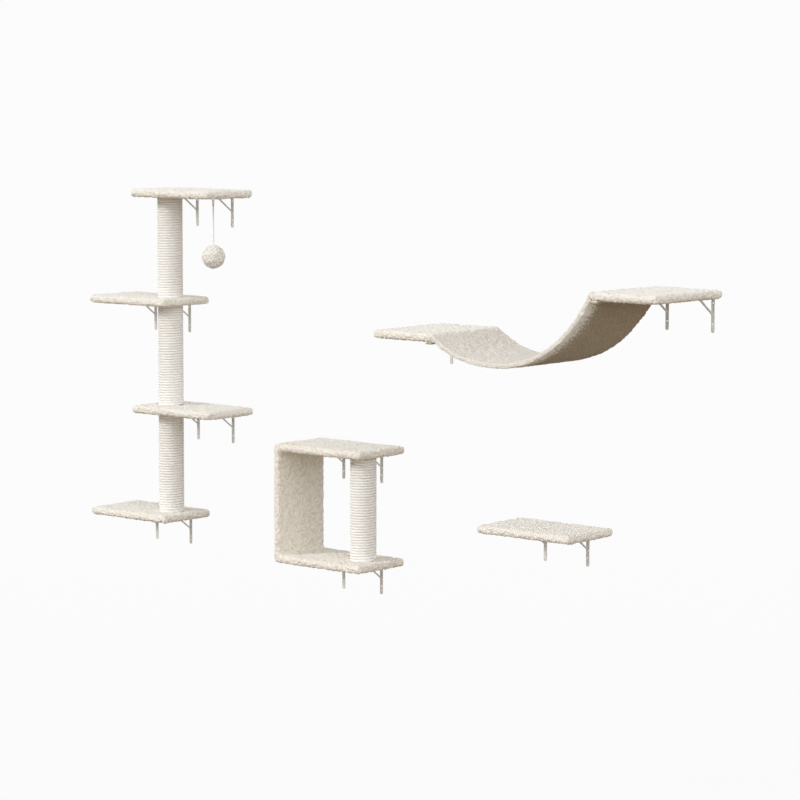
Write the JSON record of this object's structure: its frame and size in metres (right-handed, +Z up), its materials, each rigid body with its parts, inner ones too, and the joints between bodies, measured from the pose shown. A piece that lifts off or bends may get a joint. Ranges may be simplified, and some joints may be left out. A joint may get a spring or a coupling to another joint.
{
  "type": "wall mounted cat tree",
  "caption": "Wall mounted cat tree in four units: a tower of plush shelves on rope posts with a hanging ball, an open condo, a sling bridge and a step.",
  "frame": {"origin": "centre of the four wall screw holes under the tower's lowest shelf, on the wall's face", "axes": "+X along the wall to the right as seen from the room, +Y into the wall, +Z up"},
  "size_m": [2.391, 0.336, 1.272],
  "materials": {
    "plush": "matt",
    "sling_fabric": "matt",
    "ball_plush": "matt",
    "toy_cord": "matt",
    "rope": "matt",
    "bracket_paint": "satin",
    "plated_steel": "satin",
    "wood": "matt"
  },
  "bodies": {
    "root": {"bridge_lower_batten": "wood", "bridge_lower_board": "wood", "bridge_lower_bracket_left": "bracket_paint", "bridge_lower_bracket_right": "bracket_paint", "bridge_lower_cover": "plush", "bridge_sling": "sling_fabric", "bridge_upper_batten": "wood", "bridge_upper_board": "wood", "bridge_upper_bracket_left": "bracket_paint", "bridge_upper_bracket_right": "bracket_paint", "bridge_upper_cover": "plush", "condo_bottom_board": "wood", "condo_bottom_bracket_left": "bracket_paint", "condo_bottom_bracket_right": "bracket_paint", "condo_corner_keys": "wood", "condo_cover": "plush", "condo_post_core": "wood", "condo_side_board": "wood", "condo_top_board": "wood", "condo_top_bracket_left": "bracket_paint", "condo_top_bracket_right": "bracket_paint", "post_base_bolts": "plated_steel", "post_joining_studs": "plated_steel", "post_ropes": "rope", "step_board": "wood", "step_bracket_left": "bracket_paint", "step_bracket_right": "bracket_paint", "step_cover": "plush", "tower_board_1": "wood", "tower_board_2": "wood", "tower_board_3": "wood", "tower_board_4": "wood", "tower_cover_1": "plush", "tower_cover_2": "plush", "tower_cover_3": "plush", "tower_cover_4": "plush", "tower_post_core_1": "wood", "tower_post_core_2": "wood", "tower_post_core_3": "wood", "tower_shelf_1_bracket_left": "bracket_paint", "tower_shelf_1_bracket_right": "bracket_paint", "tower_shelf_2_bracket_left": "bracket_paint", "tower_shelf_2_bracket_right": "bracket_paint", "tower_shelf_3_bracket_left": "bracket_paint", "tower_shelf_3_bracket_right": "bracket_paint", "tower_shelf_4_bracket_left": "bracket_paint", "tower_shelf_4_bracket_right": "bracket_paint", "toy_screw_eye": "plated_steel"},
    "toy_loop": {"toy_cord_loop": "toy_cord"},
    "toy": {"toy_cord": "toy_cord", "toy_ball": "ball_plush"}
  },
  "joints": [
    {"name": "toy_swing_to_wall", "type": "hinge", "parent": "root", "child": "toy_loop", "pos_m": [0.297, -0.111, 1.1053], "axis": [1, 0, 0], "range_deg": [-60, 20]},
    {"name": "toy_swing_along_wall", "type": "hinge", "parent": "toy_loop", "child": "toy", "pos_m": [0.297, -0.111, 1.0997], "axis": [0, 1, 0], "range_deg": [-60, 35]}
  ]
}
